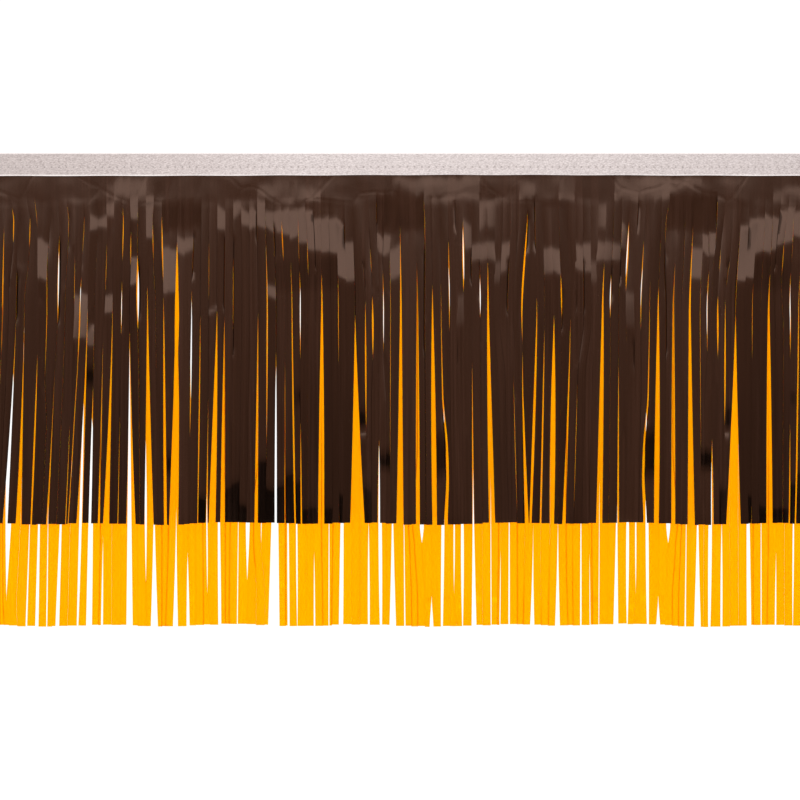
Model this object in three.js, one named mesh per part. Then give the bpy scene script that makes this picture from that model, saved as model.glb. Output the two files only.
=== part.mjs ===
// A strip fringe in two plies of thin vinyl. A folded cloth tape holds the tops of both plies: a short black ply in
// front and a longer orange one behind, each slit into narrow strands that hang side by side in tufts.
// Millimetres, +Z up. X runs along the trim and the front faces -Y. The origin is the middle of the top edge.

import * as THREE from "three";

// Driving dimensions
const LENGTH = 711.2; // cut length of the trim
const STRAND = 6.35; // strands are slit a quarter of an inch wide
const HEADING = 19; // height of the folded tape
const FRONT_DROP = 297; // from the top edge to the black ply's hem
const BACK_DROP = 379; // from the top edge to the orange ply's hem
const UNCUT = 36; // the slits begin this far below the top edge
const LEAF = 1; // thickness given to each leaf of tape and to each ply
const CLEARANCE = 0.3; // space between neighbouring pieces

// Where the layers lie, measured out from the middle plane
const PLY_CENTRE = (CLEARANCE + LEAF) / 2;
const TAPE_INSIDE = PLY_CENTRE + LEAF / 2 + CLEARANCE;
const TAPE_OUTSIDE = TAPE_INSIDE + LEAF;

// How the plies swing clear of each other below the tape
const EASE = 1.5;
const SWAY = 4;
const SLIT_ROWS = 11; // steps of the surface from the slits' tops to the hem
const COLUMN = 20; // widest step of the surface along the trim

// The strands hang in tufts with partings between them. Each row: the number of the slit that opens, counted from the
// middle of the trim; how far below the top edge it opens; where its middle comes at the hem; its width there.
const FRONT_PARTINGS = [
  [-54, 140, -350, 4],
  [-52, 90, -337.5, 5],
  [-50, 160, -326, 3],
  [-48, 125, -314.5, 4.5],
  [-47, 100, -304, 4.5],
  [-39, 125, -256.3, 4.6],
  [-36, 120, -234.8, 4.6],
  [-34, 140, -214.9, 7.2],
  [-32, 105, -200.4, 7.4],
  [-28, 75, -182.5, 11.3],
  [-23, 128, -150, 5.3],
  [-22, 135, -141.7, 3.5],
  [-18, 130, -115, 2.7],
  [-10, 105, -63, 4.8],
  [-6, 130, -34, 11.5],
  [0, 62, 0, 5.7],
  [2, 88, 14.3, 3.3],
  [4, 110, 27.7, 3.5],
  [5, 103, 36.7, 2.8],
  [11, 88, 73.5, 4.8],
  [17, 140, 102.5, 5],
  [19, 133, 121.3, 3.4],
  [21, 135, 131, 2.8],
];
const BACK_PARTINGS = [
  [-54, 200, -344, 4],
  [-51, 180, -329, 4],
  [-45, 240, -291, 2.6],
  [-42, 230, -274.5, 2.9],
  [-39, 190, -249, 4.8],
  [-34, 150, -217, 5.2],
  [-31, 270, -197, 5.6],
  [-28, 285, -180, 4],
  [-23, 240, -144.5, 2.2],
  [-16, 160, -101, 9],
  [-7, 220, -47.3, 3.5],
  [-1, 190, -5.8, 5.2],
  [8, 210, 49.5, 2.5],
  [9, 230, 59.3, 4.2],
  [17, 330, 106, 3.3],
  [20, 320, 126.3, 3.8],
];

// Past this slit the partings of the trim's middle come again in mirror order.
const MIRROR_FROM_SLIT = 22;
const MIRROR_SLIT_SUM = 37; // a slit and its mirror twin add up to this
const MIRROR_HEM_SUM = 232.4; // and so do the places of their middles at the hem

function withMirroredEnd(partings) {
  const twins = partings
    .map(([slit, top, hem, width]) => [MIRROR_SLIT_SUM - slit, top, MIRROR_HEM_SUM - hem, width])
    .filter(([slit]) => slit > MIRROR_FROM_SLIT && slit * STRAND < LENGTH / 2 - STRAND);
  return [...partings, ...twins.reverse()];
}

// How far out a ply hangs at a place along the trim. It grows with fall, which is 0 at the tape and 1 at the hem.
function swing(x, fall, phase) {
  const wave = Math.sin(x / 29 + phase) + 0.6 * Math.sin(x / 13.5 + 3 * phase) + 0.4 * Math.sin(x / 71);
  return fall * (EASE + SWAY * fall * (1 + wave / 2));
}

// The hem isn't cut quite straight.
const hemStep = (x) => 0.8 * Math.sin(x / 17) + 0.5 * Math.sin(x / 41 + 1);

// A ply as one closed comb. Its surface is a grid of rows down from the tape and columns along the trim. Neighbouring
// teeth share their edge down to the row where the parting between them opens.
function combGeometry({ side, drop, partings, phase }) {
  const rows = [TAPE_OUTSIDE, HEADING, UNCUT];
  for (let r = 1; r <= SLIT_ROWS; r++) {
    rows.push(UNCUT + ((drop - UNCUT) * r) / SLIT_ROWS);
  }
  const end = LENGTH / 2;
  const stops = withMirroredEnd(partings).map(([slit, top, hem, width]) => ({
    openRow: rows.findIndex((depth) => depth > top),
    edges: (depth) => {
      const fall = Math.max(0, depth - UNCUT) / (drop - UNCUT);
      const middle = slit * STRAND + (hem - slit * STRAND) * fall ** 1.5;
      const half = (width / 2) * Math.max(0, (depth - top) / (drop - top));
      return [middle - half, middle + half];
    },
  }));
  const wall = (x) => ({ openRow: 0, edges: () => [x, x] });
  const bounds = [wall(-end), ...stops, wall(end)];

  const positions = [];
  const index = [];
  const addPoint = (x, depth, y) => positions.push(x, y, -depth) / 3 - 1;
  const addQuad = (a, b, c, d) => index.push(a, b, c, a, c, d);

  // One column of the grid, as the indices of its front and back points down the rows
  const addColumn = (places) =>
    places.map(([x, depth]) => {
      const fall = Math.max(0, depth - HEADING) / (drop - HEADING);
      const y = side * (PLY_CENTRE + swing(x, fall, phase));
      return [addPoint(x, depth, y - LEAF / 2), addPoint(x, depth, y + LEAF / 2)];
    });

  let shared = null; // the last column of the tooth before, and how many of its rows the next tooth shares
  for (let t = 0; t + 1 < bounds.length; t++) {
    const left = bounds[t];
    const right = bounds[t + 1];
    const hemPlace = (left.edges(drop)[1] + right.edges(drop)[0]) / 2;
    const depths = rows.map((depth, r) => (r === rows.length - 1 ? depth + hemStep(hemPlace) : depth));
    const spans = depths.map((depth, r) => [left.edges(rows[r])[1], right.edges(rows[r])[0], depth]);
    const width = Math.max(...spans.map(([from, to]) => to - from));
    const steps = Math.ceil(width / COLUMN);
    let before = null;
    for (let c = 0; c <= steps; c++) {
      const column = addColumn(spans.map(([from, to, depth]) => [from + ((to - from) * c) / steps, depth]));
      if (c === 0 && shared) {
        for (let r = 0; r < shared.openRow; r++) column[r] = shared.column[r];
      }
      if (before) {
        for (let r = 0; r + 1 < column.length; r++) {
          addQuad(before[r][0], before[r + 1][0], column[r + 1][0], column[r][0]);
          addQuad(column[r][1], column[r + 1][1], before[r + 1][1], before[r][1]);
        }
        const last = column.length - 1;
        addQuad(before[0][0], column[0][0], column[0][1], before[0][1]);
        addQuad(before[last][0], before[last][1], column[last][1], column[last][0]);
      }
      const isEdge = c === 0 || c === steps;
      const openRow = (c === 0 ? left : right).openRow;
      if (isEdge) {
        for (let r = Math.max(0, openRow - 1); r + 1 < column.length; r++) {
          const [front, back] = column[r];
          const [frontBelow, backBelow] = column[r + 1];
          if (c === 0) addQuad(back, backBelow, frontBelow, front);
          else addQuad(front, frontBelow, backBelow, back);
        }
      }
      before = column;
    }
    shared = { column: before, openRow: right.openRow };
  }

  const geometry = new THREE.BufferGeometry();
  geometry.setAttribute("position", new THREE.Float32BufferAttribute(positions, 3));
  geometry.setIndex(index);
  return geometry;
}

// The tape's section is a fold: a back leaf and a front leaf with a half-round over the tops of the plies.
function tapeGeometry() {
  const section = new THREE.Shape();
  section.moveTo(-TAPE_OUTSIDE, -HEADING);
  section.lineTo(-TAPE_OUTSIDE, -TAPE_OUTSIDE);
  section.absarc(0, -TAPE_OUTSIDE, TAPE_OUTSIDE, Math.PI, 0, true);
  section.lineTo(TAPE_OUTSIDE, -HEADING);
  section.lineTo(TAPE_INSIDE, -HEADING);
  section.lineTo(TAPE_INSIDE, -TAPE_OUTSIDE);
  section.absarc(0, -TAPE_OUTSIDE, TAPE_INSIDE, 0, Math.PI, false);
  section.lineTo(-TAPE_INSIDE, -HEADING);
  section.closePath();
  const geometry = new THREE.ExtrudeGeometry(section, { depth: LENGTH, curveSegments: 6, bevelEnabled: false });
  const alongX = new THREE.Matrix4().makeBasis(
    new THREE.Vector3(0, 1, 0),
    new THREE.Vector3(0, 0, 1),
    new THREE.Vector3(1, 0, 0),
  );
  return geometry.applyMatrix4(alongX).translate(-LENGTH / 2, 0, 0);
}

function makePiece(name, geometry, color, roughness) {
  const material = new THREE.MeshStandardMaterial({ color, roughness, metalness: 0 });
  const piece = new THREE.Mesh(geometry, material);
  piece.name = name;
  return piece;
}

const trim = new THREE.Group();
trim.add(makePiece("heading_tape", tapeGeometry(), 0xd9cecc, 0.9));
trim.add(
  makePiece(
    "black_ply",
    combGeometry({ side: -1, drop: FRONT_DROP, partings: FRONT_PARTINGS, phase: 0.7 }),
    0x382820,
    0.25,
  ),
);
trim.add(
  makePiece(
    "orange_ply",
    combGeometry({ side: 1, drop: BACK_DROP, partings: BACK_PARTINGS, phase: 1.9 }),
    0xffac00,
    0.3,
  ),
);

export default trim;
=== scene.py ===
"""A two-ply strip fringe: glossy black PVC film over orange PVC film, slit into strands and sewn into a tape.

Lengths are in millimetres while a piece is worked out, and in metres in its mesh. X runs along the trim, the
front faces -Y and depth is counted down from the top edge.
"""
import math
import random

import bmesh
import bpy
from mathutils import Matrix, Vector


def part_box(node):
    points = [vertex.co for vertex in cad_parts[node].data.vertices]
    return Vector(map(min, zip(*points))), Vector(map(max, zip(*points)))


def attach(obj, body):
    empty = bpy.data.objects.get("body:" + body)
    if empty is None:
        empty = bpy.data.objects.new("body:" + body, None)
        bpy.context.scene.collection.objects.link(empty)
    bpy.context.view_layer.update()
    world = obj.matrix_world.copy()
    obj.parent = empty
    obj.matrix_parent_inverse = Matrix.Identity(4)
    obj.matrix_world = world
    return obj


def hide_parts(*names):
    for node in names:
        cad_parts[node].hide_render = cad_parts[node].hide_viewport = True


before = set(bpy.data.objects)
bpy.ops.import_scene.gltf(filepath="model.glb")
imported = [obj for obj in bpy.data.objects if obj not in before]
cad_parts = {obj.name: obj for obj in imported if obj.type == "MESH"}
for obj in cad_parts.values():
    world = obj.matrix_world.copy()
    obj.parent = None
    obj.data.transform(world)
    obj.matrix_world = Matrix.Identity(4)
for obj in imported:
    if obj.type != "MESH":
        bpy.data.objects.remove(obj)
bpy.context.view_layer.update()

MM = 0.001

# ---------------------------------------------------------------- sizes


def box_mm(node):
    low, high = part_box(node)
    return [v / MM for v in low], [v / MM for v in high]


TAPE_LOW, TAPE_HIGH = box_mm("heading_tape")
LENGTH = TAPE_HIGH[0] - TAPE_LOW[0]
HEADING = -TAPE_LOW[2]
TAPE_CLOTH = 0.6  # thickness of a leaf of the tape
STRAND = 6.35  # strands are slit a quarter of an inch wide
FILM_TOP = 3  # the films begin this far below the top edge, inside the fold
UNCUT = 36  # the slits begin this far below the top edge
FRONT_DROP = 297
BACK_DROP = 379
FILM = 0.2  # thickness that the film is given
PLY_PLACE = 0.65  # each ply hangs this far from the middle plane under the tape
EASE = 1.5  # how far a ply stands out at its hem, before it sways
SWAY = 4  # and how far it sways

# The strands hang in tufts with partings between them. Each row: the slit that opens, counted from the middle
# of the trim; how far below the top edge it opens; where its middle comes at the chart's depth and at the hem;
# its width at the hem; and its width halfway between its top and the hem.
CHART_DEPTH = 130
FRONT_PARTINGS = [
    (-54, 140, -344, -350, 4, 1.5), (-52, 90, -331, -337.5, 5, 2), (-50, 160, -318.7, -326, 3, 1),
    (-48, 130, -307, -315.2, 3.8, 1.3), (-47, 100, -300.3, -304.4, 4.6, 1), (-46, 160, -289, -294.5, 1, 1.2),
    (-43, 175, -274.5, -281.7, 1.6, 0.5), (-41, 215, -261, -267, 0.5, 0.4),
    (-40, 100, -256.4, -265, 0.5, 0.4), (-39, 125, -249.8, -256, 4.6, 1.7),
    (-38, 188, -244.4, -247.8, 1.9, 1.5), (-37, 150, -237.2, -240.6, 1.6, 0.7),
    (-36, 126, -229.8, -234.8, 4.8, 1.9), (-35, 205, -222.8, -225.5, 0.5, 0.3),
    (-34, 140, -216.2, -215, 7.4, 2.8), (-32, 105, -201.8, -200.4, 7.4, 3.2),
    (-30, 115, -188.8, -187.2, 2.2, 1.8), (-28, 110, -177.8, -180.6, 7.4, 4.6),
    (-25, 128, -159.6, -161.5, 0.4, 0.8), (-24, 190, -152.7, -154.3, 1.5, 0.5),
    (-23, 126, -146.3, -150, 5.3, 3.4), (-22, 132, -140.3, -141.7, 3.5, 2.5),
    (-18, 128, -113.5, -115, 2.5, 1.7), (-16, 160, -99.1, -99.3, 1.6, 1.3), (-15, 170, -92, -91.8, 0.9, 0.6),
    (-14, 88, -86.3, -83.8, 1.1, 1), (-13, 215, -80, -78.8, 1.1, 0.7), (-10, 97, -62.4, -63, 4.8, 3.4),
    (-6, 130, -35.9, -34, 11.5, 5), (-3, 230, -16.6, -16.9, 1.8, 1.4), (0, 60, 0.7, 0, 5.6, 2.5),
    (2, 88, 13.9, 14.3, 3, 2.4), (4, 108, 26, 27.7, 3.5, 3.4), (5, 103, 32.9, 36.7, 2.8, 1),
    (9, 170, 57.5, 58.5, 1.5, 0.9), (11, 88, 70.4, 73.5, 4.8, 3.1), (16, 160, 96.7, 101.3, 3, 1.5),
    (17, 116, 109.4, 104.2, 1.6, 1.9), (18, 143, 115.6, 112.3, 1.2, 1.1), (19, 131, 123.1, 121.3, 3.4, 3.8),
    (21, 133, 136.4, 131, 2.6, 1.3),
]
BACK_PARTINGS = [
    (-54, 200, -343, -344, 4, 2), (-51, 180, -324, -329, 4, 2), (-46, 270, -292, -299.5, 1.2, 0.6),
    (-45, 240, -286, -291, 2.6, 1.6), (-44, 280, -280, -283, 0.8, 0.7), (-42, 230, -267, -274.5, 2.9, 1.6),
    (-40, 190, -252, -258.3, 1.2, 1.8), (-39, 170, -245.4, -249.2, 4.6, 3), (-37, 312, -236, -239, 1.5, 1),
    (-34, 150, -216.6, -217, 5, 2.4), (-31, 270, -197, -197, 5.6, 2.2), (-28, 285, -178, -180, 4, 1.4),
    (-27, 322, -171, -169.9, 2.4, 1.6), (-23, 240, -146, -144.5, 2.3, 1.9),
    (-20, 270, -128, -130.4, 0.6, 0.5), (-16, 168, -98.8, -101, 9, 4.4), (-14, 250, -90.5, -89.2, 1.5, 1.2),
    (-11, 322, -69.5, -68.5, 1.1, 0.8), (-9, 270, -56.5, -57, 0.6, 0.6), (-7, 220, -45, -47.3, 3.4, 2.4),
    (-4, 296, -25.4, -25, 1.4, 1.3), (-3, 222, -17, -15.3, 1.7, 2.6), (-1, 262, -6.2, -5.8, 5.2, 2),
    (0, 210, 2, 3.9, 1, 0.3), (4, 358, 25.4, 25.3, 3, 1.5), (5, 205, 35.8, 33.6, 1.5, 2.2),
    (9, 255, 57.9, 59.3, 3.8, 1.6), (11, 262, 72.2, 73, 0.5, 0.4), (13, 320, 82, 80, 0.6, 0.4),
    (14, 260, 87.5, 87.4, 1.1, 0.8), (17, 297, 108, 106, 3.3, 0.9), (20, 295, 127, 126.3, 3.8, 1.4),
]
# Slits that open and close again on the way down: the slit, where it opens and closes, where it is halfway, and
# its greatest width.
FRONT_EYES = [
    (-53, 60, 120, -336, 0.8), (-50, 60, 165, -317.6, 0.8), (-49, 45, 74, -309, 0.65),
    (-47, 53, 76, -296, 0.45), (-46, 36, 60, -290.5, 0.15), (-44, 95, 178, -282.4, 0.3),
    (-43, 72, 136, -273.3, 1), (-42, 42, 70, -265, 0.12), (-41, 84, 124, -260.2, 0.2),
    (-40, 50, 82, -252.8, 0.18), (-40, 100, 165, -256, 0.7), (-37, 75, 112, -235, 0.2),
    (-35, 45, 88, -221.3, 0.6), (-35, 103, 148, -222.8, 0.6), (-34, 63, 92, -215.3, 0.45),
    (-33, 84, 142, -209.7, 1.9), (-31, 58, 86, -197.5, 0.3), (-30, 52, 104, -190, 0.8),
    (-28, 72, 160, -178.3, 2.4), (-26, 110, 228, -167, 1), (-24, 70, 120, -152.8, 0.18),
    (-21, 84, 142, -133.4, 0.2), (-17, 75, 232, -106.2, 1), (-15, 56, 86, -94, 0.7),
    (-13, 50, 92, -81, 0.15), (-13, 95, 165, -79.8, 0.8), (-12, 72, 98, -73.8, 0.28),
    (-8, 98, 170, -49.2, 0.4), (-5, 120, 222, -27.4, 1.1), (-4, 78, 97, -23.4, 0.22),
    (-4, 115, 164, -21.7, 1.3), (-2, 96, 160, -13.2, 0.75), (-1, 84, 250, -7.6, 0.25),
    (3, 38, 82, 19.8, 0.15), (5, 238, 256, 37.8, 0.2), (6, 70, 144, 39.3, 0.75), (8, 57, 111, 50.6, 1.6),
    (10, 98, 132, 64.1, 0.9), (14, 180, 290, 92, 0.3), (16, 48, 152, 98.6, 1.3), (20, 98, 132, 129.1, 0.9),
]
BACK_EYES = [
    (-48, 150, 356, -312.6, 5.6), (-43, 80, 134, -273.2, 1), (-40, 104, 148, -255.4, 0.9),
    (-39, 124, 182, -249.7, 0.9), (-35, 108, 146, -222.8, 0.4), (-33, 90, 140, -209.3, 1.5),
    (-32, 230, 345, -203.7, 1.6), (-26, 104, 224, -167, 1.6), (-24, 275, 353, -154.6, 0.9),
    (-19, 230, 342, -121.8, 3.2), (-17, 280, 312, -111, 0.5), (-13, 104, 150, -79.8, 0.6),
    (-13, 250, 390, -82.6, 1.1), (-2, 110, 154, -13.2, 0.5), (3, 280, 313, 17.5, 3.2),
    (6, 92, 142, 39.8, 0.6), (7, 270, 351, 43.4, 1), (8, 62, 106, 50.8, 0.6), (8, 250, 392, 50, 2.2),
    (10, 102, 130, 64.2, 0.7),
]

# Past this slit the partings of the trim's middle come again in mirror order.
MIRROR_FROM_SLIT = 22
MIRROR_SLIT_SUM = 37  # a slit and its mirror twin add up to this
MIRROR_HEM_SUM = 232.4  # and so do their places


def is_twin(slit):
    return slit > MIRROR_FROM_SLIT and slit * STRAND < LENGTH / 2 - STRAND


def with_twin_partings(partings):
    twins = [(MIRROR_SLIT_SUM - slit, top, MIRROR_HEM_SUM - at, MIRROR_HEM_SUM - hem, width, waist)
             for slit, top, at, hem, width, waist in partings]
    return sorted(partings + [row for row in twins if is_twin(row[0])])


def with_twin_eyes(eyes):
    twins = [(MIRROR_SLIT_SUM - slit, top, end, MIRROR_HEM_SUM - at, width)
             for slit, top, end, at, width in eyes]
    return sorted(eyes + [row for row in twins if is_twin(row[0])])


# ---------------------------------------------------------------- how a ply hangs


def clamp(value, low=0.0, high=1.0):
    return max(low, min(high, value))


def smooth(value):
    value = clamp(value)
    return value * value * (3 - 2 * value)


LEAN_GROWTH = 1.2  # a parting runs off its line faster towards the hem
EYE_FADE = 45  # a slit is back in its own line this far above and below an eye
EYE_SETS_IN = 20  # an eye's pull grows over this distance below the uncut band
CLOSE_ROW = 3  # rows of the mesh are this close together
CLOSE_ROWS_TO = 160  # down to this depth, where the film bends most


class Ply:
    """The way one ply hangs: where its slits run, and how far out its surface stands."""

    def __init__(self, side, drop, partings, eyes, overlap, lower_row, phase, seed):
        self.side = side  # -1 in front, 1 behind
        self.drop = drop
        self.overlap = overlap  # the most of a strand that its neighbour may hide
        self.lower_row = lower_row  # how far apart the lower rows of the mesh are
        self.phase = phase
        self.draw = random.Random(seed)
        self.partings = {row[0]: row[1:] for row in with_twin_partings(partings)}
        self.eyes = {}
        for slit, top, end, at, width in with_twin_eyes(eyes):
            self.eyes.setdefault(slit, []).append((top, end, at, width))
        self.last = round(LENGTH / 2 / STRAND)
        self.wholes = sorted({-self.last, self.last, *self.partings})
        self.stops = sorted({*self.wholes, *self.eyes})

    def parting_middle(self, slit, depth):
        """Where the middle of a parting, or the trim's end, comes at a depth."""
        start = slit * STRAND
        if slit not in self.partings:
            return start
        _, at, hem, _, _ = self.partings[slit]
        if depth < CHART_DEPTH:
            return start + (at - start) * smooth((depth - UNCUT) / (CHART_DEPTH - UNCUT))
        return at + (hem - at) * ((depth - CHART_DEPTH) / (self.drop - CHART_DEPTH)) ** LEAN_GROWTH

    def plain_middle(self, slit, depth):
        """The same for any slit: one that only opens for a while runs evenly between the partings beside it."""
        if slit in self.wholes:
            return self.parting_middle(slit, depth)
        left = max(s for s in self.wholes if s < slit)
        right = min(s for s in self.wholes if s > slit)
        share = (slit - left) / (right - left)
        return self.parting_middle(left, depth) * (1 - share) + self.parting_middle(right, depth) * share

    def middle(self, slit, depth):
        """Where a slit's middle comes, once its eyes have pulled it aside."""
        pull, weight = 0.0, 0.0
        for top, end, at, _ in self.eyes.get(slit, ()):
            half = (top + end) / 2
            near = smooth(1 + (end - half - abs(depth - half)) / EYE_FADE)
            near *= smooth((depth - UNCUT) / EYE_SETS_IN)
            pull += (at - self.plain_middle(slit, half)) * near
            weight += near
        return self.plain_middle(slit, depth) + pull / max(1.0, weight)

    def parting_width(self, slit, depth):
        """How wide a parting is: a curve through its widths halfway down and at the hem."""
        if slit not in self.partings:
            return 0.0
        top, _, _, width, waist = self.partings[slit]
        t = clamp((depth - top) / (self.drop - top))
        return max(0.0, width * t + (4 * waist - 2 * width) * t * (1 - t))

    def eye_width(self, slit, depth):
        """How wide a slit stands open where it opens and closes again."""
        width = 0.0
        for top, end, _, widest in self.eyes.get(slit, ()):
            if top < depth < end:
                width += widest * math.sin(math.pi * (depth - top) / (end - top))
        return width

    def stop_edges(self, slit, depth):
        """The left and right edge of the opening at a slit."""
        middle = self.middle(slit, depth)
        half = (self.eye_width(slit, depth) + self.parting_width(slit, depth)) / 2
        return middle - half, middle + half

    def out(self, x, depth):
        """How far the ply hangs out from its place under the tape."""
        fall = max(0.0, depth - HEADING) / (self.drop - HEADING)
        phase = self.phase
        wave = math.sin(x / 29 + phase) + 0.6 * math.sin(x / 13.5 + 3 * phase) + 0.4 * math.sin(x / 71)
        return fall * (EASE + SWAY * fall * (1 + wave / 2))

    def depths(self):
        """Rows of the mesh: close together where the film bends most, wider apart further down."""
        rows = [FILM_TOP, 12, HEADING]
        while rows[-1] < CLOSE_ROWS_TO:
            rows.append(rows[-1] + CLOSE_ROW)
        first = rows[-1]
        steps = round((self.drop - first) / self.lower_row)
        return rows + [first + (self.drop - first) * (i + 1) / steps for i in range(steps)]


# ---------------------------------------------------------------- how a strand hangs

# Slits where one strand's edge curls right back: the slit, from where to where, and which strand (-1 left,
# 1 right)
CURLED_EDGES = [
    (-48, 92, 138, 1), (-43, 66, 140, 1), (-33, 84, 136, 1), (-35, 106, 146, 1), (-26, 62, 104, 1),
    (-22, 66, 130, -1), (-21, 66, 165, 1), (-18, 42, 76, -1), (-16, 56, 88, 1), (-11, 44, 98, -1),
    (-7, 54, 78, -1), (-5, 84, 112, 1), (-3, 35, 62, 1), (3, 76, 165, -1), (7, 38, 66, -1), (7, 148, 176, 1),
    (9, 78, 108, -1), (10, 86, 122, -1), (14, 84, 132, -1), (16, 46, 82, 1), (17, 36, 82, -1),
    (20, 108, 146, 1), (22, 110, 130, 1), (5, 206, 264, -1), (-29, 228, 262, 1),
]
EDGE_CURL = 0.2  # the most that other edges curl back
DEEP_CURL = 0.8  # and how far the edges listed here do
DEEP_CURL_FADE = 8
EDGE_STRIP = 0.7  # this much of a strand's edge curls
WIDEST_STRIP = 0.4  # of a narrow strand
SHINGLE = 0.075  # how steeply the strands of a tuft lie over each other
LOOSE_AT = 45  # a strand comes to hang its own way over this distance below the uncut band
LOOSE_FROM = 0.06  # and has begun to at the band
STRAYS_AT = 60  # its edges come to stray from even spacing over this distance
MOST_CROWDED = 1.6  # strands of a crowded tuft are seen at this many times the width that is left for each
CROWDED = 0.85  # a strand seen narrower than this share of its width lies more steeply:
CROWDED_TURN = 6  # by this times the share that isn't seen,
LONE_TURN = 1.5  # or so many times as steeply when it is a tuft of its own


def strand_styles(ply):
    """Draws how each strand hangs: its turn, bow, length and shade, how its bends slant, and where its left
    edge strays to."""
    draw = ply.draw
    styles = {}
    for slit in range(-ply.last, ply.last + 1):
        styles[slit] = {
            "turn": draw.uniform(-0.02, 0.02),
            "bow": draw.uniform(-0.02, 0.06),
            "shift": draw.uniform(-0.5, 0.5),
            "longer": draw.uniform(-0.35, 0.35),
            "jitter": draw.uniform(-1.5, 1.5),
            "tone": draw.random(),
            "curl": EDGE_CURL * draw.random() ** 2,
            "slant": draw.uniform(-0.7, 0.7),
        }
    return styles


def tuft_edges(ply, styles, left, right, over, depth):
    """Where the strands of a tuft are seen to meet, from its left edge to its right, and a strand's width."""
    start = ply.stop_edges(left, depth)[1]
    end = ply.stop_edges(right, depth)[0]
    count = right - left
    space = end - start
    if count == 1:
        return [start, end], min(STRAND, space)
    whole = min(STRAND, MOST_CROWDED * space / count)
    step = min(space / count, (space - whole) / (count - 1))
    first = space - step * (count - 1) if over > 0 else step
    strays = smooth((depth - UNCUT) / STRAYS_AT)
    between = [start + first + step * n + styles[left + n + 1]["shift"] * strays * step / STRAND
               for n in range(count - 1)]
    return [start, *between, end], whole


def lapped(ply, edges, whole, n, over):
    """The left and right edge of a tuft's strand, with what its neighbour hides of it."""
    start, end = edges[n], edges[n + 1]
    count = len(edges) - 1
    hidden = clamp(whole - (end - start), 0, ply.overlap) if count > 1 else 0
    if over > 0 and n > 0:
        start -= hidden
    if over < 0 and n < count - 1:
        end += hidden
    return start, end


def tilt(style, whole, over, count):
    """How steeply a strand lies across: more where its tuft is crowded."""
    slope = over * (SHINGLE + style["turn"])
    if whole >= CROWDED * STRAND:
        return slope
    return slope * (1 + CROWDED_TURN * (1 - whole / STRAND) if count > 1 else LONE_TURN)


def edge_curl(slit, strand_side, depth):
    """How far a strand's edge curls back at a slit."""
    curl = 0.0
    for curled, top, foot, side in CURLED_EDGES:
        for number, hand in ((curled, side), (MIRROR_SLIT_SUM - curled, -side)):
            if number == slit and hand == strand_side and (number == curled or is_twin(number)):
                fade = smooth((depth - top) / DEEP_CURL_FADE) * smooth((foot - depth) / DEEP_CURL_FADE)
                curl = max(curl, DEEP_CURL * fade)
    return curl


# Bends where the film catches the light, as they run along the trim: from x, to x, then the depths of the
# bend's top and foot at the one and at the other, and how strong it is.
LIT_BENDS = [
    (-229, -206, 21, 40, 21, 38, 0.6), (-235, -229, 24, 36, 22, 38, 0.25),
    (-206, -200, 22, 34, 24, 32, 0.25), (-112, -66, 23, 36, 28, 40, 0.5), (-6, 20, 19, 24, 19, 36, 0.5),
    (20, 62, 19, 38, 19, 36, 0.6), (96, 108, 22, 38, 26, 38, 0.4), (-291, -281, 68, 99, 70, 103, 1),
    (-304, -298, 88, 94, 88, 94, 0.3), (-258, -251, 113, 150, 111, 149, 0.8),
    (-251, -243, 134, 150, 139, 163, 0.8), (-247, -236, 51, 62, 50, 59, 1),
    (-236, -229, 112, 129, 112, 129, 0.9), (-234, -227, 38, 52, 36, 50, 0.8),
    (-214, -208, 83, 106, 83, 105, 1), (-216, -209, 36, 53, 36, 53, 1), (-204, -197, 36, 68, 36, 67, 1),
    (-187, -181, 76, 113, 76, 113, 0.9), (-178, -165, 68, 81, 67, 78, 0.9),
    (-153, -146, 123, 128, 123, 128, 1), (-147, -140, 46, 61, 46, 60, 1), (-134, -126, 40, 49, 42, 51, 0.7),
    (-127, -113, 45, 58, 45, 59, 1), (-114, -107, 38, 60, 38, 60, 1), (-107, -84, 46, 61, 46, 68, 1),
    (-84, -72, 42, 70, 46, 76, 1), (-72, -48, 50, 79, 54, 81, 1), (-49, -42, 55, 100, 58, 101, 1),
    (-42, -36, 70, 103, 74, 105, 0.9), (-106, -100, 104, 117, 104, 117, 0.9),
    (-33, -26, 219, 228, 219, 228, 1), (-17, -11, 64, 80, 68, 80, 0.9), (-6, 0, 77, 100, 77, 99, 0.9),
    (51, 58, 56, 78, 56, 78, 0.6), (58, 75, 72, 87, 70, 86, 0.7), (75, 81, 85, 104, 85, 104, 0.5),
    (81, 89, 72, 96, 72, 95, 0.8), (116, 127, 76, 97, 76, 97, 0.8), (44, 52, 110, 138, 112, 140, 0.5),
    (67, 75, 40, 60, 40, 60, 0.5),
]
# Bends where the film leans back and goes dark, in the same way
DARK_BENDS = [
    (-249, -243, 171, 186, 171, 186, 1), (-161, -154, 276, 300, 276, 300, 1),
    (-151, -146, 247, 300, 247, 300, 1), (-141, -130, 268, 300, 264, 300, 1),
    (-130, -123, 281, 300, 281, 300, 1), (-113, -107, 244, 300, 246, 300, 1),
    (-107, -100, 268, 300, 268, 300, 1), (-100, -93, 266, 300, 266, 300, 1),
    (-92, -85, 258, 300, 258, 300, 1), (-84, -79, 264, 300, 264, 300, 1), (-78, -66, 286, 300, 285, 300, 1),
    (-60, -55, 285, 300, 285, 300, 0.8), (-48, -41, 276, 300, 276, 300, 1),
    (-86, -79, 192, 199, 192, 199, 1), (-33, -26, 204, 220, 204, 220, 1),
    (-29, -21, 268, 300, 268, 300, 0.8), (-16, -9, 239, 252, 239, 252, 0.9),
    (-186, -181, 240, 258, 240, 258, 0.8), (30, 36, 222, 258, 222, 258, 0.7),
    (-190, -158, 40, 62, 40, 58, 0.4), (-18, 17, 34, 62, 34, 60, 0.4), (-98, -50, 86, 110, 84, 108, 0.3),
]
LIT_LEAN = 1.5  # degrees
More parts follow.
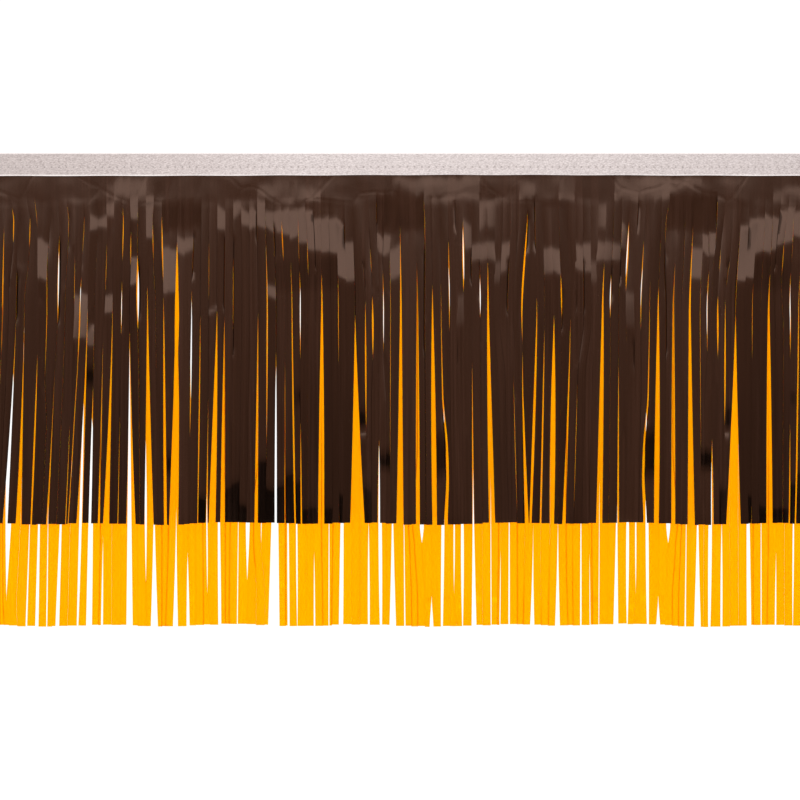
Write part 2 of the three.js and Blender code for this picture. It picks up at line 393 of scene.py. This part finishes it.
LIT_LEAN_GAIN = 0.016  # degrees more for each millimetre down
DARK_LEAN = -3.2
BACK_FROM_OUT = 90  # a strand comes back to its line over about this length when it stands out,
BACK_FROM_IN = 160  # and over this one when it stands in


def with_twin_bends(bends):
    middle = MIRROR_HEM_SUM / 2
    twins = [(MIRROR_HEM_SUM - b, MIRROR_HEM_SUM - a, top_b, foot_b, top_a, foot_a, strength)
             for a, b, top_a, foot_a, top_b, foot_b, strength in bends if a < middle - STRAND]
    return bends + [row for row in twins if row[0] > middle + STRAND]


CHARTED_BENDS = (
    (with_twin_bends(LIT_BENDS), LIT_LEAN, LIT_LEAN_GAIN),
    (with_twin_bends(DARK_BENDS), DARK_LEAN, 0),
)


def strand_bends(ply, slit, jitter):
    """The bends that fall on one strand."""
    bends = []
    for charted, lean, gain in CHARTED_BENDS:
        for a, b, top_a, foot_a, top_b, foot_b, strength in charted:
            depth = (top_a + foot_a) / 2
            middle = (ply.middle(slit, depth) + ply.middle(slit + 1, depth)) / 2
            if a - 0.5 < middle < b + 0.5:
                t = clamp((middle - a) / (b - a))
                top = top_a + (top_b - top_a) * t + jitter
                foot = foot_a + (foot_b - foot_a) * t - jitter / 2
                bends.append((top, foot, lean + gain * (top + foot) / 2, strength))
    return bends


def bend_curve(ply, slit, bends):
    """How far the bends in a strand move it out, millimetre by millimetre down from the top edge."""
    middle = (slit + 0.5) * STRAND
    moved, total = [], 0.0
    for depth in range(int(ply.drop) + 2):
        hang = ply.out(middle, depth + 1) - ply.out(middle, depth)
        slope = -total / (BACK_FROM_OUT if total > 0 else BACK_FROM_IN)
        for top, foot, lean, strength in bends:
            hold = strength * smooth((depth - top + 1) / 2) * smooth((foot - depth + 1) / 2)
            slope = (1 - hold) * slope + hold * (math.tan(math.radians(lean)) - hang)
        moved.append(total)
        total += slope
    return moved


ACROSS = 4  # faces across one strand


def points_across(width):
    """Where the points lie across a strand: at its edges, where their curl ends, and in its middle."""
    strip = min(WIDEST_STRIP, EDGE_STRIP / max(width, 0.1))
    return 0, strip, 0.5, 1 - strip, 1


def hem_cut(x):
    """How far the hem is off straight."""
    return 0.7 * math.sin(x / 17) + 0.4 * math.sin(x / 41 + 1)


def strand_rows(ply, styles, depths, bent):
    """For each strand, its points row by row: (x, out, depth) across its width."""
    strands = []
    for left, right in zip(ply.stops, ply.stops[1:]):
        count = right - left
        over = ply.draw.choice((-1, 1))
        layout = [tuft_edges(ply, styles, left, right, over, depth) for depth in depths]
        for n in range(count):
            slit = left + n
            style = styles[slit]
            moved = bend_curve(ply, slit, strand_bends(ply, slit, style["jitter"])) if bent else [0]
            rows = []
            for depth, (edges, whole) in zip(depths, layout):
                start, end = lapped(ply, edges, whole, n, over)
                middle = (start + end) / 2
                free = smooth((depth - UNCUT) / LOOSE_AT + LOOSE_FROM)
                slope = tilt(style, whole, over, count) * free
                at_hem = depth == depths[-1]
                cut = depth + (style["longer"] + hem_cut(middle) if at_hem else 0)
                points = []
                for u in points_across(end - start):
                    x = start + (end - start) * u
                    bend = moved[int(clamp(depth + style["slant"] * (x - middle), 0, len(moved) - 1))]
                    out = ply.out(x, depth) + bend + slope * (x - middle)
                    out += style["bow"] * free * (1 - (2 * u - 1) ** 2)
                    if u in (0, 1):
                        deep = edge_curl(slit + u, 1 - 2 * u, depth) if bent else 0
                        out -= max(style["curl"] * free, deep)
                    points.append((x, out, cut))
                rows.append(points)
            strands.append(rows)
    return strands


def film_mesh(name, ply, bent):
    """A ply as one closed film: strands that share their edges above the slits."""
    depths = ply.depths()
    styles = strand_styles(ply)
    strands = strand_rows(ply, styles, depths, bent)
    slit_row = max(r for r, depth in enumerate(depths) if depth <= UNCUT)
    verts, faces, tones = [], [], []

    def add(point, half):
        x, out, depth = point
        verts.append((x * MM, ply.side * (PLY_PLACE + out + half) * MM, -depth * MM))
        return len(verts) - 1

    def add_face(*corners):
        faces.append(corners if ply.side < 0 else corners[::-1])

    before = None
    for s, rows in enumerate(strands):
        outer = [[add(p, FILM / 2) for p in row] for row in rows]
        inner = [[add(p, -FILM / 2) for p in row] for row in rows]
        if before:
            for r in range(slit_row + 1):
                outer[r][0], inner[r][0] = before[0][r][-1], before[1][r][-1]
        first = len(faces)
        for r in range(len(rows) - 1):
            for c in range(ACROSS):
                add_face(outer[r][c], outer[r + 1][c], outer[r + 1][c + 1], outer[r][c + 1])
                add_face(inner[r][c + 1], inner[r + 1][c + 1], inner[r + 1][c], inner[r][c])
            if r >= slit_row or s == 0:
                add_face(inner[r][0], inner[r + 1][0], outer[r + 1][0], outer[r][0])
            if r >= slit_row or s == len(strands) - 1:
                add_face(outer[r][-1], outer[r + 1][-1], inner[r + 1][-1], inner[r][-1])
        for c in range(ACROSS):
            add_face(outer[0][c], outer[0][c + 1], inner[0][c + 1], inner[0][c])
            add_face(outer[-1][c], inner[-1][c], inner[-1][c + 1], outer[-1][c + 1])
        tones += [styles[s - ply.last]["tone"]] * (len(faces) - first)
        before = (outer, inner)

    mesh = new_mesh(name, verts, faces)
    tone = mesh.attributes.new("tone", "FLOAT", "FACE")
    tone.data.foreach_set("value", tones)
    return without_loose_points(mesh)


def new_mesh(name, verts, faces):
    mesh = bpy.data.meshes.new(name)
    mesh.from_pydata(verts, [], faces)
    mesh.validate()
    return mesh


def without_loose_points(mesh):
    """Leaves out points that no face uses, which the shared edges leave behind."""
    work = bmesh.new()
    work.from_mesh(mesh)
    bmesh.ops.delete(work, geom=[v for v in work.verts if not v.link_faces], context="VERTS")
    work.to_mesh(mesh)
    work.free()
    return mesh


CREASE = 50  # degrees


def add_piece(name, mesh, material):
    piece = bpy.data.objects.new(name, mesh)
    bpy.context.scene.collection.objects.link(piece)
    mesh.materials.append(material)
    mesh.shade_smooth()
    mesh.set_sharp_from_angle(angle=math.radians(CREASE))
    return piece


# ---------------------------------------------------------------- the heading tape

STITCH = 5.8  # length of one stitch
STITCH_GAP = 1.0  # of which this much goes through the cloth
STITCH_DEPTH = 12  # the row runs this far below the top edge
STITCH_STEPS = 4  # steps of the tape's mesh along one stitch
SEAM_WIDTH = 1.6  # the stitches press the cloth in over about this width to each side of their row,
SEAM_DEPTH = 0.25  # this deep,
SEAM_WAVE = 0.12  # and this much more or less along a stitch
CLOTH_INSET = 0.15  # the cloth lies this far inside the CAD tape's face
FOLD_STEPS = 6
THREAD_SEED = 5
THREAD_SUNK = 0.55  # how far inside the CAD tape's face a stitch's ends run
THREAD_RISE = 0.35  # and how far its middle rises from there
THREAD = 0.28  # radius
THREAD_SIDES = 6
THREAD_RINGS = 6


def tape_section(x):
    """The folded tape's section at a place along the trim, as (y, depth) points of its outer face, front to
    back."""
    outside = TAPE_HIGH[1] - CLOTH_INSET
    sew = SEAM_WAVE * math.cos(2 * math.pi * x / STITCH)
    points = []
    for depth in (HEADING, 18.2, 15.5, 13.2, STITCH_DEPTH, 10.8, 8.5, 5.5):
        near = math.exp(-((depth - STITCH_DEPTH) / SEAM_WIDTH) ** 2)
        points.append((-outside + near * (SEAM_DEPTH + sew), depth))
    leaf = len(points)
    for i in range(FOLD_STEPS + 1):
        angle = math.pi * i / FOLD_STEPS
        points.append((-outside * math.cos(angle), outside - outside * math.sin(angle)))
    return points + [(-y, depth) for y, depth in points[leaf - 1::-1]]


def selvedge(x):
    """How far the tape's lower edge is off straight: it rises a little near the middle of the trim."""
    return 0.3 - 0.9 * math.exp(-((x - 60) / 200) ** 2) + 0.12 * math.sin(x / 11 + 1)


def tape_ring(x):
    """The tape's section at a place as points: along its outer face, then along its inner one."""
    section = tape_section(x)
    last = len(section) - 1
    outer = [(x, y, depth + (selvedge(x) if k in (0, last) else 0)) for k, (y, depth) in enumerate(section)]
    inner = []
    for k, (y, _) in enumerate(section):
        ahead, behind = section[min(k + 1, last)], section[max(k - 1, 0)]
        dy, dz = ahead[0] - behind[0], ahead[1] - behind[1]
        size = math.hypot(dy, dz)
        inner.append((x, y - dz / size * TAPE_CLOTH, outer[k][2] + dy / size * TAPE_CLOTH))
    return outer + inner


def tape_mesh():
    verts, faces, rings = [], [], []
    steps = round(LENGTH / STITCH * STITCH_STEPS)
    for i in range(steps + 1):
        ring = tape_ring(-LENGTH / 2 + LENGTH * i / steps)
        rings.append([len(verts) + k for k in range(len(ring))])
        verts += [(x * MM, y * MM, -depth * MM) for x, y, depth in ring]
    count = len(rings[0]) // 2
    for left, right in zip(rings, rings[1:]):
        for k in range(count - 1):
            faces.append((left[k], left[k + 1], right[k + 1], right[k]))
            faces.append((left[count + k], right[count + k], right[count + k + 1], left[count + k + 1]))
        faces.append((left[0], right[0], right[count], left[count]))
        faces.append((left[count - 1], left[2 * count - 1], right[2 * count - 1], right[count - 1]))
    for ring, turn in ((rings[0], 1), (rings[-1], -1)):
        for k in range(count - 1):
            faces.append((ring[k], ring[count + k], ring[count + k + 1], ring[k + 1])[::turn])
    return new_mesh("heading_tape_cloth", verts, [face[::-1] for face in faces])


def thread_mesh():
    """Lockstitches along both faces of the tape: short lengths of thread that dip into the cloth at their
    ends."""
    verts, faces = [], []
    draw = random.Random(THREAD_SEED)
    count = int(LENGTH / STITCH) - 1
    for face in (-1, 1):
        for n in range(count):
            start = -(count * STITCH) / 2 + n * STITCH + STITCH_GAP / 2
            slant = draw.uniform(-0.15, 0.15)
            first = len(verts)
            for r in range(THREAD_RINGS + 1):
                t = r / THREAD_RINGS
                x = start + (STITCH - STITCH_GAP) * t
                lift = math.sin(math.pi * t) ** 0.5 if 0 < t < 1 else 0
                y = face * (TAPE_HIGH[1] - THREAD_SUNK + THREAD_RISE * lift)
                depth = STITCH_DEPTH + slant * (2 * t - 1)
                for k in range(THREAD_SIDES):
                    angle = 2 * math.pi * k / THREAD_SIDES
                    verts.append((x * MM, (y + THREAD * math.cos(angle)) * MM,
                                  -(depth + THREAD * math.sin(angle)) * MM))
            for r in range(THREAD_RINGS):
                ring = first + r * THREAD_SIDES
                for k in range(THREAD_SIDES):
                    a, b = ring + k, ring + (k + 1) % THREAD_SIDES
                    faces.append((a, a + THREAD_SIDES, b + THREAD_SIDES, b))
            faces.append(tuple(first + k for k in range(THREAD_SIDES)))
            end = first + THREAD_RINGS * THREAD_SIDES
            faces.append(tuple(end + k for k in reversed(range(THREAD_SIDES))))
    return new_mesh("stitching", verts, faces)


# ---------------------------------------------------------------- materials


def colour(code):
    """An sRGB hex value as linear RGBA."""
    parts = [int(code[i:i + 2], 16) / 255 for i in (1, 3, 5)]
    return (*(c / 12.92 if c <= 0.04045 else ((c + 0.055) / 1.055) ** 2.4 for c in parts), 1.0)


def add_node(tree, kind, links=None, inputs=None, stops=None, **settings):
    """A node with its settings, its own input values, the sockets linked to it and, on a ramp, its stops."""
    node = tree.nodes.new(kind)
    for name, value in settings.items():
        setattr(node, name, value)
    for name, value in (inputs or {}).items():
        node.inputs[name].default_value = value
    for name, socket in (links or {}).items():
        tree.links.new(socket, node.inputs[name])
    if stops:
        ends = node.color_ramp.elements[0], node.color_ramp.elements[1]
        for end, (position, value) in zip(ends, (stops[0], stops[-1])):
            end.position = position
            end.color = value
        for position, value in stops[1:-1]:
            node.color_ramp.elements.new(position).color = value
    return node


def grey(value):
    """A plain factor as a ramp's stop holds it."""
    return (value, value, value, 1.0)


def new_material(name, **values):
    """A material with a Principled shader, and that shader's values."""
    material = bpy.data.materials.new(name)
    material.use_nodes = True
    shader = material.node_tree.nodes["Principled BSDF"]
    for socket, value in values.items():
        shader.inputs[socket.replace("_", " ")].default_value = value
    return material, material.node_tree, shader


def calendered_pvc(name, dark, light, tint, roughness):
    """Flexible PVC film, calendered between polished rolls: a glossy skin with faint streaks along its run, and
    each strand a little lighter or darker than the next."""
    material, tree, shader = new_material(name, Roughness=roughness, IOR=1.53, Specular_Tint=colour(tint))
    where = add_node(tree, "ShaderNodeTexCoord").outputs["Object"]
    along = add_node(tree, "ShaderNodeMapping", {"Vector": where},
                     {"Scale": (1 / (1.6 * MM), 30, 1 / (90 * MM))})
    streak = add_node(tree, "ShaderNodeTexNoise", {"Vector": along.outputs["Vector"]},
                      {"Scale": 1, "Detail": 2})
    drawn = add_node(tree, "ShaderNodeMapRange", {"Value": streak.outputs["Fac"]},
                     {"From Min": 0.35, "From Max": 0.65})
    tone = add_node(tree, "ShaderNodeAttribute", attribute_name="tone", attribute_type="GEOMETRY")
    both = add_node(tree, "ShaderNodeMath", {0: tone.outputs["Fac"], 1: drawn.outputs["Result"]}, {2: 0.1},
                    operation="MULTIPLY_ADD")
    shade = add_node(tree, "ShaderNodeMix", {"Factor": both.outputs["Value"]},
                     {"A": colour(dark), "B": colour(light)}, data_type="RGBA")
    tree.links.new(shade.outputs["Result"], shader.inputs["Base Color"])
    return material, tree, shader, where


PUCKER = 30 * MM  # how far apart the swells of the uncut band are
CREASE_NET = 34 * MM  # and its creases
BAND_FADE = (-46 * MM, -36 * MM)  # the puckers die out below the uncut band


def black_film():
    """Black PVC film, glossy and warm in its reflections. It puckers and creases softly where the stitching
    gathers its uncut band under the tape, so that its shine breaks up there."""
    material, tree, shader, where = calendered_pvc("black_pvc_film", "#040201", "#1a0f0b", "#ffccb4", 0.11)
    height = add_node(tree, "ShaderNodeSeparateXYZ", {"Vector": where}).outputs["Z"]
    band = add_node(tree, "ShaderNodeMapRange", {"Value": height},
                    {"From Min": BAND_FADE[0], "From Max": BAND_FADE[1]}, interpolation_type="SMOOTHSTEP")
    swell = add_node(tree, "ShaderNodeTexNoise", {"Vector": where}, {"Scale": 1 / PUCKER, "Detail": 1})
    warp = add_node(tree, "ShaderNodeMix", {"A": where, "B": swell.outputs["Color"]}, {"Factor": 0.012},
                    data_type="VECTOR")
    net = add_node(tree, "ShaderNodeTexVoronoi", {"Vector": warp.outputs["Result"]}, {"Scale": 1 / CREASE_NET},
                   feature="DISTANCE_TO_EDGE")
    crease = add_node(tree, "ShaderNodeMapRange", {"Value": net.outputs["Distance"]},
                      {"From Max": 0.08, "To Min": -0.011, "To Max": 0}, interpolation_type="SMOOTHSTEP")
    level = add_node(tree, "ShaderNodeMath", {0: swell.outputs["Fac"]}, {1: 0.5}, operation="SUBTRACT")
    relief = add_node(tree, "ShaderNodeMath", {0: level.outputs["Value"], 2: crease.outputs["Result"]},
                      {1: 0.26}, operation="MULTIPLY_ADD")
    kept = add_node(tree, "ShaderNodeMath", {0: relief.outputs["Value"], 1: band.outputs["Result"]},
                    operation="MULTIPLY")
    bump = add_node(tree, "ShaderNodeBump", {"Height": kept.outputs["Value"]}, {"Strength": 1, "Distance": MM})
    tree.links.new(bump.outputs["Normal"], shader.inputs["Normal"])
    return material


def orange_film():
    """Orange PVC film, less polished and so thin that light comes through it from behind: it glows where
    nothing hangs in front of it or behind it, and its own colour is set deeper to allow for that."""
    material, _, shader, _ = calendered_pvc("orange_pvc_film", "#e86900", "#f07000", "#ffa800", 0.28)
    shader.inputs["Subsurface Weight"].default_value = 0.9
    shader.inputs["Subsurface Radius"].default_value = (1, 1, 1)
    shader.inputs["Subsurface Scale"].default_value = 1.3 * MM
    return material


HOLE = (0.9 * MM, 0.6 * MM)  # half the size of a needle hole, along the tape and down


def needle_hole_shade(tree, along, height):
    """A factor that falls to nothing in the needle holes, one to a stitch, where the tape is given a painted
    shade.
    """
    to_hole = add_node(tree, "ShaderNodeMath", {0: along}, {1: STITCH / 2 * MM}, operation="PINGPONG")
    across = add_node(tree, "ShaderNodeMath", {0: to_hole.outputs["Value"]}, {1: HOLE[0]}, operation="DIVIDE")
    to_row = add_node(tree, "ShaderNodeMath", {0: height}, {1: STITCH_DEPTH * MM}, operation="ADD")
    down = add_node(tree, "ShaderNodeMath", {0: to_row.outputs["Value"]}, {1: HOLE[1]}, operation="DIVIDE")
    offset = add_node(tree, "ShaderNodeCombineXYZ", {"X": across.outputs["Value"], "Y": down.outputs["Value"]})
    far = add_node(tree, "ShaderNodeVectorMath", {0: offset.outputs["Vector"]}, operation="LENGTH")
    hole = add_node(tree, "ShaderNodeMapRange", {"Value": far.outputs["Value"]},
                    {"From Min": 0.5, "From Max": 1.2}, interpolation_type="SMOOTHSTEP")
    return hole.outputs["Result"]


def woven_tape():
    """Bleached cotton twill tape, woven narrow and pressed: matt, with a speckle of pale and dark threads, and
    greyer towards its ends. Along its fold and its selvedges it is painted paler, a painted highlight where
    they catch the light. Its threads are drawn 1.8 mm long and 0.7 mm wide, about twice their real size, so
    that they show."""
    material, tree, shader = new_material("woven_heading_tape", Roughness=0.85, Sheen_Weight=0.1)
    where = add_node(tree, "ShaderNodeTexCoord").outputs["Object"]
    axes = add_node(tree, "ShaderNodeSeparateXYZ", {"Vector": where})
    threads = add_node(tree, "ShaderNodeMapping", {"Vector": where},
                       {"Scale": (1 / (1.8 * MM), 1 / MM, 1 / (0.7 * MM))})
    speckle = add_node(tree, "ShaderNodeTexNoise", {"Vector": threads.outputs["Vector"]},
                       {"Scale": 1, "Detail": 4, "Roughness": 0.8})
    weave = add_node(tree, "ShaderNodeValToRGB", {"Fac": speckle.outputs["Fac"]},
                     stops=((0.3, colour("#8d8280")), (0.7, colour("#d3c9c7"))))
    along = add_node(tree, "ShaderNodeMapRange", {"Value": axes.outputs["X"]},
                     {"From Min": -LENGTH / 2 * MM, "From Max": LENGTH / 2 * MM})
    # the tape is made greyer towards both ends of the trim
    greyer_at_ends = add_node(tree, "ShaderNodeValToRGB", {"Fac": along.outputs["Result"]},
                      stops=((0, (0.78, 0.76, 0.75, 1)), (0.17, (0.86, 0.84, 0.83, 1)), (0.4, grey(1)),
                             (0.72, grey(0.97)), (1, (0.86, 0.85, 0.85, 1))))
    cloth = add_node(tree, "ShaderNodeMix", {"A": weave.outputs["Color"], "B": greyer_at_ends.outputs["Color"]},
                     {"Factor": 1}, data_type="RGBA", blend_type="MULTIPLY")
    up = add_node(tree, "ShaderNodeMapRange", {"Value": axes.outputs["Z"]},
                  {"From Min": -20 * MM, "From Max": 0})
    # painted highlight: the fold along the top and the selvedge along the bottom are painted paler, towards
    # #efe9e7, where they catch the light
    fold_and_edge_highlight = add_node(tree, "ShaderNodeValToRGB", {"Fac": up.outputs["Result"]},
                      stops=((0, grey(0.5)), (0.07, grey(0.5)), (0.1, grey(0)), (0.9, grey(0)),
                             (0.96, grey(0.9)), (1, grey(0.9))))
    pale = add_node(tree, "ShaderNodeMix", {"Factor": fold_and_edge_highlight.outputs["Color"], "A": cloth.outputs["Result"]},
                    {"B": colour("#efe9e7")}, data_type="RGBA")
    # painted shade: the needle holes are not cut, and the shade inside them is painted dark (#352b28) onto the
    # cloth
    hole_shaded = add_node(tree, "ShaderNodeMix",
                     {"Factor": needle_hole_shade(tree, axes.outputs["X"], axes.outputs["Z"]),
                      "B": pale.outputs["Result"]}, {"A": colour("#352b28")}, data_type="RGBA")
    tree.links.new(hole_shaded.outputs["Result"], shader.inputs["Base Color"])
    bump = add_node(tree, "ShaderNodeBump", {"Height": speckle.outputs["Fac"]},
                    {"Strength": 0.4, "Distance": 0.2 * MM})
    tree.links.new(bump.outputs["Normal"], shader.inputs["Normal"])
    return material


def sewing_thread():
    """Spun polyester sewing thread, pale and softly shiny, a little uneven along its length."""
    material, tree, shader = new_material("sewing_thread", Roughness=0.6)
    where = add_node(tree, "ShaderNodeTexCoord").outputs["Object"]
    twist = add_node(tree, "ShaderNodeTexNoise", {"Vector": where}, {"Scale": 1 / (2 * MM)})
    shade = add_node(tree, "ShaderNodeValToRGB", {"Fac": twist.outputs["Fac"]},
                     stops=((0, colour("#a89d9a")), (1, colour("#cfc5c2"))))
    tree.links.new(shade.outputs["Color"], shader.inputs["Base Color"])
    return material


# ---------------------------------------------------------------- studio

# In metres, like all places and sizes here
FLOOR_HEIGHT = -1.1
CAMERA_AWAY = 3.0
CAMERA_HEIGHT = -0.1984  # level with the middle of the view
VIEW_WIDTH = 0.64  # how much of the trim's length the view takes in
AIM = (0, 0, -0.2)  # the lamps point here

SENSOR = 36  # millimetres
WORLD_LIGHT = 1.1
WALL_GLOW = (0.78, 0.5, 0.36, 1)
BLACK = (0, 0, 0, 1)


def card(name, centre, width, height, normal, material):
    """A flat card that faces a direction."""
    half_w, half_h = width / 2, height / 2
    corners = [(-half_w, -half_h, 0), (half_w, -half_h, 0), (half_w, half_h, 0), (-half_w, half_h, 0)]
    board = bpy.data.objects.new(name, new_mesh(name, corners, [(0, 1, 2, 3)]))
    board.location = centre
    board.rotation_euler = Vector(normal).to_track_quat("Z", "Y").to_euler()
    bpy.context.scene.collection.objects.link(board)
    board.data.materials.append(material)
    return board


def area_light(name, centre, target, width, height, power):
    data = bpy.data.lights.new(name, "AREA")
    data.shape = "RECTANGLE"
    data.size = width
    data.size_y = height
    data.energy = power
    lamp = bpy.data.objects.new(name, data)
    lamp.location = centre
    lamp.rotation_euler = (Vector(target) - Vector(centre)).to_track_quat("-Z", "Y").to_euler()
    lamp.visible_camera = False
    bpy.context.scene.collection.objects.link(lamp)
    return lamp


def glossy_card(name, centre, width, height, normal, glow):
    """A card that only shows as a reflection."""
    material, _, _ = new_material(name, Base_Color=BLACK, Roughness=1.0, Specular_IOR_Level=0.0,
                                  Emission_Color=glow, Emission_Strength=1.0)
    board = card(name, centre, width, height, normal, material)
    board.visible_camera = board.visible_diffuse = board.visible_shadow = board.visible_transmission = False
    return board


def uneven_light(wall):
    """The wall that the black film mirrors is brightest in its upper half and lit in broad soft patches."""
    tree = wall.data.materials[0].node_tree
    where = add_node(tree, "ShaderNodeNewGeometry").outputs["Position"]
    height = add_node(tree, "ShaderNodeSeparateXYZ", {"Vector": where}).outputs["Z"]
    up = add_node(tree, "ShaderNodeMapRange", {"Value": height}, {"From Min": -0.25, "From Max": 0.35})
    fall_off = add_node(tree, "ShaderNodeValToRGB", {"Fac": up.outputs["Result"]},
                        stops=((0, grey(0.5)), (0.42, grey(0.84)), (0.72, grey(1.0)), (1, grey(0.72))))
    spread = add_node(tree, "ShaderNodeMapping", {"Vector": where}, {"Scale": (2.6, 1, 2.2)})
    patches = add_node(tree, "ShaderNodeTexNoise", {"Vector": spread.outputs["Vector"]},
                       {"Scale": 1, "Detail": 2})
    light = add_node(tree, "ShaderNodeMapRange", {"Value": patches.outputs["Fac"]},
                     {"From Min": 0.3, "From Max": 0.7, "To Min": 0.85, "To Max": 1.35})
    glow = add_node(tree, "ShaderNodeMath", {0: light.outputs["Result"], 1: fall_off.outputs["Color"]},
                    operation="MULTIPLY")
    tree.links.new(glow.outputs["Value"], tree.nodes["Principled BSDF"].inputs["Emission Strength"])


def studio():
    """A pale floor, soft light all round, lamps before and behind, and cards for the film to mirror."""
    scene = bpy.context.scene
    scene.view_settings.view_transform = "Standard"
    scene.world = bpy.data.worlds.new("pale_studio")
    scene.world.use_nodes = True
    sky = scene.world.node_tree.nodes["Background"]
    sky.inputs["Color"].default_value = grey(1)
    sky.inputs["Strength"].default_value = WORLD_LIGHT
    floor_paint, _, _ = new_material("floor_paint", Base_Color=colour("#ffffff"), Roughness=0.9)
    card("floor", (0, 0, FLOOR_HEIGHT), 30, 30, (0, 0, 1), floor_paint)
    uneven_light(glossy_card("wall", (0, -4.3, -0.385), 14, 1.44, (0, 1, 0), WALL_GLOW))
    glossy_card("low_flag", (0, -3.4, -0.79), 9, 0.64, (0, 1, 0), BLACK)
    glossy_card("left_flag", (-4.2, -1.6, 0), 4, 3, (1, 0, 0), BLACK)
    glossy_card("right_flag", (4.2, -1.6, 0), 4, 3, (-1, 0, 0), BLACK)
    key = area_light("key_box", (0, -3.3, -0.05), AIM, 0.5, 0.4, 40)
    backlight = area_light("back_box", (0, 3.3, 0.1), AIM, 1.2, 1.0, 43)
    key.visible_glossy = backlight.visible_glossy = False
    area_light("front_box", (0, -4.0, 0.455), (0, 0, -0.15), 6, 0.25, 12)


def camera():
    scene = bpy.context.scene
    data = bpy.data.cameras.new("camera")
    data.sensor_width = SENSOR
    data.lens = SENSOR * CAMERA_AWAY / VIEW_WIDTH
    seat = bpy.data.objects.new("camera", data)
    seat.location = (0, -CAMERA_AWAY, CAMERA_HEIGHT)
    seat.rotation_euler = (math.radians(90), 0, 0)
    scene.collection.objects.link(seat)
    scene.camera = seat


# ---------------------------------------------------------------- put together

camera()
studio()

front = Ply(side=-1, drop=FRONT_DROP, partings=FRONT_PARTINGS, eyes=FRONT_EYES,
            overlap=2.2, lower_row=4.5, phase=0.7, seed=11)
back = Ply(side=1, drop=BACK_DROP, partings=BACK_PARTINGS, eyes=BACK_EYES,
           overlap=0.6, lower_row=6, phase=1.9, seed=23)
black = add_piece("black_strands", film_mesh("black_strands", front, bent=True), black_film())
orange = add_piece("orange_strands", film_mesh("orange_strands", back, bent=False), orange_film())
tape = add_piece("tape", tape_mesh(), woven_tape())
thread = add_piece("stitches", thread_mesh(), sewing_thread())

for piece, node, slot in ((black, "black_ply", "black_vinyl"), (orange, "orange_ply", "orange_vinyl"),
                          (tape, "heading_tape", "heading_tape")):
    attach(piece, "root")
    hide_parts(node)
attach(thread, "root")
